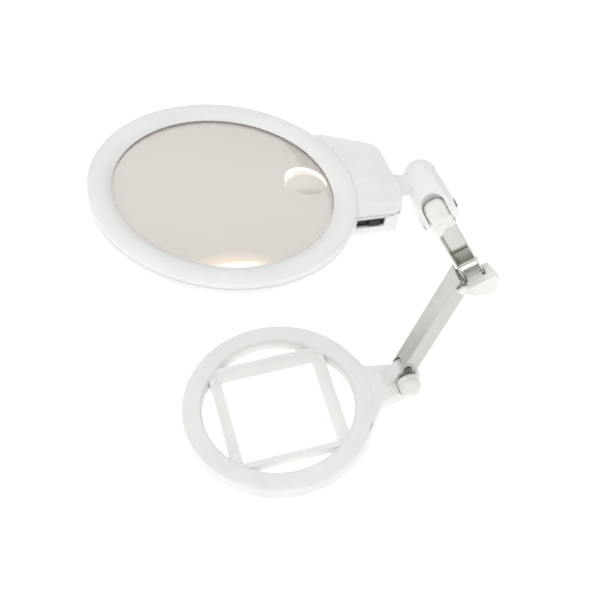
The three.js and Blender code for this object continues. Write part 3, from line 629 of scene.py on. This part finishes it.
def sweepTree():
    tree, given, output = startTree("sweep", [
        ("Path", "Object", None), ("Wide", "Float", 0.0005), ("Tall", "Float", 0.0003),
        ("Sides", "Int", 12), ("Material", "Material", None)])
    path = addNode(tree, "GeometryNodeObjectInfo", {"transform_space": "ORIGINAL"},
                   {"Object": given.outputs["Path"]})
    ring = addNode(tree, "GeometryNodeCurvePrimitiveCircle", {"Radius": 1.0},
                   {"Resolution": given.outputs["Sides"]})
    size = addNode(tree, "ShaderNodeCombineXYZ", None, {
        "X": given.outputs["Wide"], "Y": given.outputs["Tall"], "Z": given.outputs["Wide"],
    })
    shaped = addNode(tree, "GeometryNodeTransform", None,
                     {"Geometry": ring.outputs[0], "Scale": size.outputs[0]})
    swept = addNode(tree, "GeometryNodeCurveToMesh", {"Fill Caps": True},
                    {"Curve": path.outputs["Geometry"], "Profile Curve": shaped.outputs[0]})
    smooth = addNode(tree, "GeometryNodeSetShadeSmooth", None, {"Geometry": swept.outputs[0]})
    return endTree(tree, smooth.outputs[0], given, output)


sweep = sweepTree()


def sweepPath(name, points, wide, tall, sides, material):
    data = bpy.data.curves.new(name, "CURVE")
    data.dimensions = "3D"
    spline = data.splines.new("POLY")
    spline.points.add(len(points) - 1)
    for point, place in zip(spline.points, points):
        point.co = (*mm(*place), 1)
    path = addObject(name + ".path", data)
    piece = runTree(sweep, name, {"Path": path, "Wide": wide / 1000, "Tall": tall / 1000, "Sides": sides,
                                  "Material": materials[material]}, headFrame)
    bpy.data.objects.remove(path)
    return piece


# Raised lines on the housing's roof
roofValues = {"height": 1.25, "wide": 0.55, "tall": 0.35,
              "lines": [[(74.5, 27), (75, 1)], [(77.5, 14.7), (78.3, 3.5), (96, -14.7)]]}
for index, line in enumerate(roofValues["lines"]):
    ridge = sweepPath(f"roof_line_{index + 1}", [(x, y, roofValues["height"]) for x, y in line],
                      roofValues["wide"], roofValues["tall"], 12, "abs")
    settle(ridge, "head", "abs")

# Cell springs: conical coils of round wire
springValues = {"turns": 4, "wire": 0.3, "root": 2.9, "tip": 2.0, "length": 2.5, "steps": 22, "reach": 22.55}
cellRow = {"x": 72.4, "pitch": 10.4, "z": -12.0}
for index in range(3):
    side = 1 if index % 2 else -1
    count = springValues["turns"] * springValues["steps"]
    coil = []
    for step in range(count + 1):
        t = step / count
        turn = 2 * math.pi * springValues["turns"] * t
        r = springValues["tip"] + (springValues["root"] - springValues["tip"]) * t
        coil.append((cellRow["x"] + index * cellRow["pitch"] + r * math.cos(turn),
                     side * (springValues["reach"] + springValues["length"] * t),
                     cellRow["z"] + r * math.sin(turn)))
    spring = sweepPath(f"battery_spring_{index + 1}.finish", coil, springValues["wire"], springValues["wire"],
                       8, "zincPlate")
    settle(spring, "head", "zincPlate", [f"battery_spring_{index + 1}"])


# Shell screws: cross-head screws under the frame, on five of six places round a circle
screwValues = {
    "headRadius": 2.0, "headTall": 1.5, "headEdge": 0.5, "flat": 0.7, "sides": 28,
    "shank": 1.0, "length": 6.6, "point": 0.6,
    "cross": 0.5, "crossLong": 2.6, "crossDeep": 0.9,
    "circle": 71.2, "count": 6, "foot": -7.6,
}


def screwMesh(v):
    profile = [(0, 0), (v["headRadius"] * v["flat"], 0), (v["headRadius"], v["headEdge"]),
               (v["headRadius"], v["headTall"]), (v["shank"], v["headTall"]),
               (v["shank"], v["headTall"] + v["length"] - v["point"]),
               (0, v["headTall"] + v["length"])]
    screw = addObject("screw", latheMesh("screw", profile, v["sides"], Matrix.Identity(4)))
    cross = bmesh.new()
    for size in ((v["cross"], v["crossLong"]), (v["crossLong"], v["cross"])):
        made = bmesh.ops.create_cube(cross, size=1.0)
        bmesh.ops.scale(cross, vec=mm(size[0], size[1], v["crossDeep"] * 2), verts=made["verts"])
    cutter = addObject("cutter", meshFrom("cutter", cross))
    recess = screw.modifiers.new("recess", "BOOLEAN")
    recess.operation = "DIFFERENCE"
    recess.object = cutter
    recess.use_self = True
    mesh = bpy.data.meshes.new_from_object(screw.evaluated_get(bpy.context.evaluated_depsgraph_get()))
    screw.modifiers.clear()
    screw.data = mesh
    mesh.set_sharp_from_angle(angle=math.radians(35))
    bpy.data.objects.remove(cutter)
    return screw


def screwTree():
    tree, given, output = startTree("screwRing", [
        ("Screw", "Object", None), ("Circle", "Float", 0.07), ("Count", "Int", 6),
        ("Material", "Material", None)])
    circle = addNode(tree, "GeometryNodeMeshCircle", None, {"Vertices": given.outputs["Count"],
                                                            "Radius": given.outputs["Circle"]})
    order = addNode(tree, "GeometryNodeInputIndex")
    first = addNode(tree, "FunctionNodeCompare", {"data_type": "INT", "operation": "EQUAL"})
    tree.links.new(order.outputs[0], first.inputs[2])
    kept = addNode(tree, "GeometryNodeDeleteGeometry", {"domain": "POINT"},
                   {"Geometry": circle.outputs[0], "Selection": first.outputs[0]})
    info = addNode(tree, "GeometryNodeObjectInfo", {"transform_space": "ORIGINAL"},
                   {"Object": given.outputs["Screw"]})
    turned = addNode(tree, "FunctionNodeRandomValue", {"data_type": "FLOAT", "Seed": 7})
    spin = addNode(tree, "ShaderNodeCombineXYZ", None, {"Z": turned.outputs[1]})
    placed = addNode(tree, "GeometryNodeInstanceOnPoints", None, {
        "Points": kept.outputs[0], "Instance": info.outputs["Geometry"], "Rotation": spin.outputs[0],
    })
    return endTree(tree, placed.outputs[0], given, output)


screw = screwMesh(screwValues)
screws = runTree(screwTree(), "shell_screws.finish", {
    "Screw": screw, "Circle": screwValues["circle"] / 1000, "Count": screwValues["count"],
    "Material": materials["zincPlate"]}, headFrame @ Matrix.Translation(mm(0, 0, screwValues["foot"])))
bpy.data.objects.remove(screw)
settle(screws, "head", "zincPlate", [f"shell_screw_{i}" for i in range(1, 6)])
print("small pieces made")


# Floor, light and view
stageValues = {
    "floor": "#FBFBFA",
    "floorCloud": "#F8F8F7",
    "cloudSize": 300,  # mm
    "floorHalf": 4,  # metres
    "floorDrop": 0.0002,  # metres, so that the base's foot and the floor don't flicker
    "glow": 0.42,
    "lights": [("key", (-0.7, -0.5, 1.1), 0.9, 2.4), ("fill", (0.8, -0.6, 0.7), 1.2, 0.5)],
    "aim": (-0.05, 0, 0.1),  # metres, as the lights' places and sizes
    "skyStrength": 1.07,
    "sky": [(0.0, 0.5), (0.47, 0.34), (0.56, 0.24), (0.75, 0.7), (1.0, 0.98)],  # brightness by height
}


def buildStage(v):
    material, tree = startMaterial("paper")
    where = addNode(tree, "ShaderNodeTexCoord").outputs["Object"]
    cloud = addNode(tree, "ShaderNodeTexNoise", {"Scale": 1000 / v["cloudSize"], "Detail": 3},
                    {"Vector": where})
    tone = addNode(tree, "ShaderNodeMix", {
        "data_type": "RGBA", 6: toLinear(v["floor"]), 7: toLinear(v["floorCloud"]),
    }, {0: cloud.outputs["Fac"]}).outputs[2]
    shader = addNode(tree, "ShaderNodeBsdfPrincipled", {
        "Roughness": 0.9, "Emission Color": (1, 1, 1, 1), "Emission Strength": v["glow"],
    }, {"Base Color": tone})
    finishMaterial(material, tree, shader)
    work = bmesh.new()
    bmesh.ops.create_grid(work, x_segments=1, y_segments=1, size=v["floorHalf"])
    floor = addObject("floor", meshFrom("floor", work))
    floor.data.transform(Matrix.Translation((0, 0, -v["floorDrop"])))
    floor.data.materials.append(material)
    world = bpy.data.worlds.new("studio")
    world.use_nodes = True
    sky = world.node_tree
    where = addNode(sky, "ShaderNodeTexCoord").outputs["Generated"]
    height = addNode(sky, "ShaderNodeSeparateXYZ", None, {0: where}).outputs["Z"]
    level = addNode(sky, "ShaderNodeMapRange", {"From Min": -1.0}, {"Value": height}).outputs[0]
    ramp = addNode(sky, "ShaderNodeValToRGB", None, {"Fac": level})
    while len(ramp.color_ramp.elements) < len(v["sky"]):
        ramp.color_ramp.elements.new(0.5)
    for stop, (at, shade) in zip(ramp.color_ramp.elements, v["sky"]):
        stop.position = at
        stop.color = (shade, shade, shade, 1)
    sky.links.new(ramp.outputs[0], sky.nodes["Background"].inputs["Color"])
    sky.nodes["Background"].inputs["Strength"].default_value = v["skyStrength"]
    bpy.context.scene.world = world
    for name, spot, size, power in v["lights"]:
        data = bpy.data.lights.new(name, "AREA")
        data.size = size
        data.energy = power
        light = bpy.data.objects.new(name, data)
        light.location = spot
        aim = Vector(v["aim"]) - light.location
        light.rotation_euler = aim.to_track_quat("-Z", "Y").to_euler()
        collection.objects.link(light)
    bpy.context.scene.view_settings.view_transform = "Standard"


buildStage(stageValues)
print("stage set")
